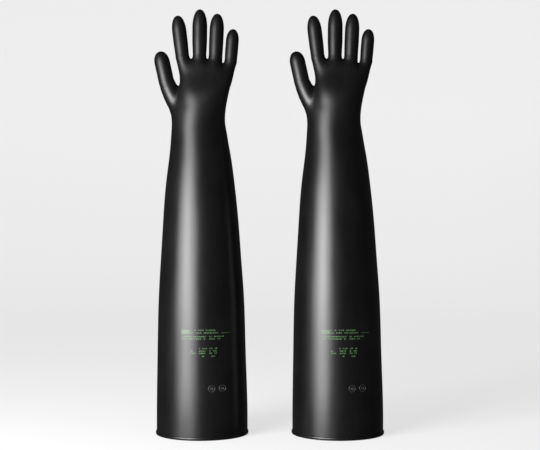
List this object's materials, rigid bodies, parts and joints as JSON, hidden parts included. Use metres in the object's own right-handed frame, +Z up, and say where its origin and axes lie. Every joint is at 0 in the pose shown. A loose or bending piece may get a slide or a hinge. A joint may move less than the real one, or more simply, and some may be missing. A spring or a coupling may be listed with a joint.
{
  "type": "insulating gloves",
  "caption": "Pair of black shoulder-length rubber insulating gloves standing on rolled cuffs, with folds at elbow, wrist and every digit.",
  "frame": {"origin": "on the floor, in the middle of the pair's bounding box, which is within 1 mm of halfway between the two cuffs' axes", "axes": "+Z up along the sleeves, +X from the left glove to the right glove, +Y towards the side that the hands close on; the print is on the -Y side"},
  "size_m": [0.4387, 0.1774, 0.813],
  "materials": {
    "black_rubber": "satin",
    "green_ink": "matte print",
    "grey_ink": "matte print"
  },
  "bodies": {
    "left_glove": {"left_lower_sleeve": "black_rubber", "left_cuff_bead": "black_rubber", "left_elbow_fold": "black_rubber", "left_ink_marking": "green_ink", "left_stamp_marks": "grey_ink"},
    "left_forearm": {"left_forearm_sleeve": "black_rubber", "left_wrist_fold": "black_rubber"},
    "left_hand": {"left_palm": "black_rubber", "left_index_base_fold": "black_rubber", "left_middle_base_fold": "black_rubber", "left_ring_base_fold": "black_rubber", "left_little_base_fold": "black_rubber", "left_thumb_base_fold": "black_rubber"},
    "left_index_base": {"left_index_proximal": "black_rubber", "left_index_mid_fold": "black_rubber"},
    "left_index_end": {"left_index_tip": "black_rubber"},
    "left_middle_base": {"left_middle_proximal": "black_rubber", "left_middle_mid_fold": "black_rubber"},
    "left_middle_end": {"left_middle_tip": "black_rubber"},
    "left_ring_base": {"left_ring_proximal": "black_rubber", "left_ring_mid_fold": "black_rubber"},
    "left_ring_end": {"left_ring_tip": "black_rubber"},
    "left_little_base": {"left_little_proximal": "black_rubber", "left_little_mid_fold": "black_rubber"},
    "left_little_end": {"left_little_tip": "black_rubber"},
    "left_thumb_base": {"left_thumb_proximal": "black_rubber", "left_thumb_mid_fold": "black_rubber"},
    "left_thumb_end": {"left_thumb_tip": "black_rubber"},
    "right_glove": {"right_lower_sleeve": "black_rubber", "right_cuff_bead": "black_rubber", "right_elbow_fold": "black_rubber", "right_ink_marking": "green_ink", "right_stamp_marks": "grey_ink"},
    "right_forearm": {"right_forearm_sleeve": "black_rubber", "right_wrist_fold": "black_rubber"},
    "right_hand": {"right_palm": "black_rubber", "right_index_base_fold": "black_rubber", "right_middle_base_fold": "black_rubber", "right_ring_base_fold": "black_rubber", "right_little_base_fold": "black_rubber", "right_thumb_base_fold": "black_rubber"},
    "right_index_base": {"right_index_proximal": "black_rubber", "right_index_mid_fold": "black_rubber"},
    "right_index_end": {"right_index_tip": "black_rubber"},
    "right_middle_base": {"right_middle_proximal": "black_rubber", "right_middle_mid_fold": "black_rubber"},
    "right_middle_end": {"right_middle_tip": "black_rubber"},
    "right_ring_base": {"right_ring_proximal": "black_rubber", "right_ring_mid_fold": "black_rubber"},
    "right_ring_end": {"right_ring_tip": "black_rubber"},
    "right_little_base": {"right_little_proximal": "black_rubber", "right_little_mid_fold": "black_rubber"},
    "right_little_end": {"right_little_tip": "black_rubber"},
    "right_thumb_base": {"right_thumb_proximal": "black_rubber", "right_thumb_mid_fold": "black_rubber"},
    "right_thumb_end": {"right_thumb_tip": "black_rubber"}
  },
  "joints": [
    {"name": "left_elbow", "type": "hinge", "parent": "left_glove", "child": "left_forearm", "pos_m": [-0.1322, 0, 0.334], "axis": [-1, 0, 0], "range_deg": [0, 70], "stiffness_Nm_per_rad": 8, "deforming": ["left_elbow_fold"]},
    {"name": "left_wrist", "type": "hinge", "parent": "left_forearm", "child": "left_hand", "pos_m": [-0.1365, 0, 0.588], "axis": [-1, 0, 0], "range_deg": [-45, 55], "stiffness_Nm_per_rad": 1.5, "deforming": ["left_wrist_fold"]},
    {"name": "left_index_knuckle", "type": "hinge", "parent": "left_hand", "child": "left_index_base", "pos_m": [-0.16865, 0, 0.73328], "axis": [-0.9928, 0, -0.1201], "range_deg": [-15, 70], "stiffness_Nm_per_rad": 0.08, "deforming": ["left_index_base_fold"]},
    {"name": "left_index_middle_joint", "type": "hinge", "parent": "left_index_base", "child": "left_index_end", "pos_m": [-0.17311, 0, 0.77012], "axis": [-0.9928, 0, -0.1201], "range_deg": [0, 80], "stiffness_Nm_per_rad": 0.05, "deforming": ["left_index_mid_fold"]},
    {"name": "left_middle_knuckle", "type": "hinge", "parent": "left_hand", "child": "left_middle_base", "pos_m": [-0.13457, 0, 0.73212], "axis": [-1, 0, 0.0087], "range_deg": [-15, 70], "stiffness_Nm_per_rad": 0.08, "deforming": ["left_middle_base_fold"]},
    {"name": "left_middle_middle_joint", "type": "hinge", "parent": "left_middle_base", "child": "left_middle_end", "pos_m": [-0.13417, 0, 0.7775], "axis": [-1, 0, 0.0087], "range_deg": [0, 80], "stiffness_Nm_per_rad": 0.05, "deforming": ["left_middle_mid_fold"]},
    {"name": "left_ring_knuckle", "type": "hinge", "parent": "left_hand", "child": "left_ring_base", "pos_m": [-0.10402, 0, 0.73257], "axis": [-0.999, 0, 0.0436], "range_deg": [-15, 70], "stiffness_Nm_per_rad": 0.08, "deforming": ["left_ring_base_fold"]},
    {"name": "left_ring_middle_joint", "type": "hinge", "parent": "left_ring_base", "child": "left_ring_end", "pos_m": [-0.1023, 0, 0.77195], "axis": [-0.999, 0, 0.0436], "range_deg": [0, 80], "stiffness_Nm_per_rad": 0.05, "deforming": ["left_ring_mid_fold"]},
    {"name": "left_little_knuckle", "type": "hinge", "parent": "left_hand", "child": "left_little_base", "pos_m": [-0.07456, 0, 0.72415], "axis": [-0.9968, 0, 0.0802], "range_deg": [-15, 70], "stiffness_Nm_per_rad": 0.08, "deforming": ["left_little_base_fold"]},
    {"name": "left_little_middle_joint", "type": "hinge", "parent": "left_little_base", "child": "left_little_end", "pos_m": [-0.07225, 0, 0.75286], "axis": [-0.9968, 0, 0.0802], "range_deg": [0, 80], "stiffness_Nm_per_rad": 0.05, "deforming": ["left_little_mid_fold"]},
    {"name": "left_thumb_knuckle", "type": "hinge", "parent": "left_hand", "child": "left_thumb_base", "pos_m": [-0.19896, 0, 0.68387], "axis": [-0.9792, 0, -0.2028], "range_deg": [-10, 45], "stiffness_Nm_per_rad": 0.08, "deforming": ["left_thumb_base_fold"]},
    {"name": "left_thumb_middle_joint", "type": "hinge", "parent": "left_thumb_base", "child": "left_thumb_end", "pos_m": [-0.2041, 0, 0.70872], "axis": [-0.9792, 0, -0.2028], "range_deg": [0, 60], "stiffness_Nm_per_rad": 0.05, "deforming": ["left_thumb_mid_fold"]},
    {"name": "right_lift", "type": "slide", "parent": "left_glove", "child": "right_glove", "axis": [0, 0, 1], "range_m": [0, 0.3]},
    {"name": "right_elbow", "type": "hinge", "parent": "right_glove", "child": "right_forearm", "pos_m": [0.1278, 0, 0.334], "axis": [-1, 0, 0], "range_deg": [0, 70], "stiffness_Nm_per_rad": 8, "deforming": ["right_elbow_fold"]},
    {"name": "right_wrist", "type": "hinge", "parent": "right_forearm", "child": "right_hand", "pos_m": [0.1235, 0, 0.588], "axis": [-1, 0, 0], "range_deg": [-45, 55], "stiffness_Nm_per_rad": 1.5, "deforming": ["right_wrist_fold"]},
    {"name": "right_index_knuckle", "type": "hinge", "parent": "right_hand", "child": "right_index_base", "pos_m": [0.09135, 0, 0.73328], "axis": [-0.9928, 0, -0.1201], "range_deg": [-15, 70], "stiffness_Nm_per_rad": 0.08, "deforming": ["right_index_base_fold"]},
    {"name": "right_index_middle_joint", "type": "hinge", "parent": "right_index_base", "child": "right_index_end", "pos_m": [0.08689, 0, 0.77012], "axis": [-0.9928, 0, -0.1201], "range_deg": [0, 80], "stiffness_Nm_per_rad": 0.05, "deforming": ["right_index_mid_fold"]},
    {"name": "right_middle_knuckle", "type": "hinge", "parent": "right_hand", "child": "right_middle_base", "pos_m": [0.12543, 0, 0.73212], "axis": [-1, 0, 0.0087], "range_deg": [-15, 70], "stiffness_Nm_per_rad": 0.08, "deforming": ["right_middle_base_fold"]},
    {"name": "right_middle_middle_joint", "type": "hinge", "parent": "right_middle_base", "child": "right_middle_end", "pos_m": [0.12583, 0, 0.7775], "axis": [-1, 0, 0.0087], "range_deg": [0, 80], "stiffness_Nm_per_rad": 0.05, "deforming": ["right_middle_mid_fold"]},
    {"name": "right_ring_knuckle", "type": "hinge", "parent": "right_hand", "child": "right_ring_base", "pos_m": [0.15598, 0, 0.73257], "axis": [-0.999, 0, 0.0436], "range_deg": [-15, 70], "stiffness_Nm_per_rad": 0.08, "deforming": ["right_ring_base_fold"]},
    {"name": "right_ring_middle_joint", "type": "hinge", "parent": "right_ring_base", "child": "right_ring_end", "pos_m": [0.1577, 0, 0.77195], "axis": [-0.999, 0, 0.0436], "range_deg": [0, 80], "stiffness_Nm_per_rad": 0.05, "deforming": ["right_ring_mid_fold"]},
    {"name": "right_little_knuckle", "type": "hinge", "parent": "right_hand", "child": "right_little_base", "pos_m": [0.18544, 0, 0.72415], "axis": [-0.9968, 0, 0.0802], "range_deg": [-15, 70], "stiffness_Nm_per_rad": 0.08, "deforming": ["right_little_base_fold"]},
    {"name": "right_little_middle_joint", "type": "hinge", "parent": "right_little_base", "child": "right_little_end", "pos_m": [0.18775, 0, 0.75286], "axis": [-0.9968, 0, 0.0802], "range_deg": [0, 80], "stiffness_Nm_per_rad": 0.05, "deforming": ["right_little_mid_fold"]},
    {"name": "right_thumb_knuckle", "type": "hinge", "parent": "right_hand", "child": "right_thumb_base", "pos_m": [0.06104, 0, 0.68387], "axis": [-0.9792, 0, -0.2028], "range_deg": [-10, 45], "stiffness_Nm_per_rad": 0.08, "deforming": ["right_thumb_base_fold"]},
    {"name": "right_thumb_middle_joint", "type": "hinge", "parent": "right_thumb_base", "child": "right_thumb_end", "pos_m": [0.0559, 0, 0.70872], "axis": [-0.9792, 0, -0.2028], "range_deg": [0, 60], "stiffness_Nm_per_rad": 0.05, "deforming": ["right_thumb_mid_fold"]}
  ]
}
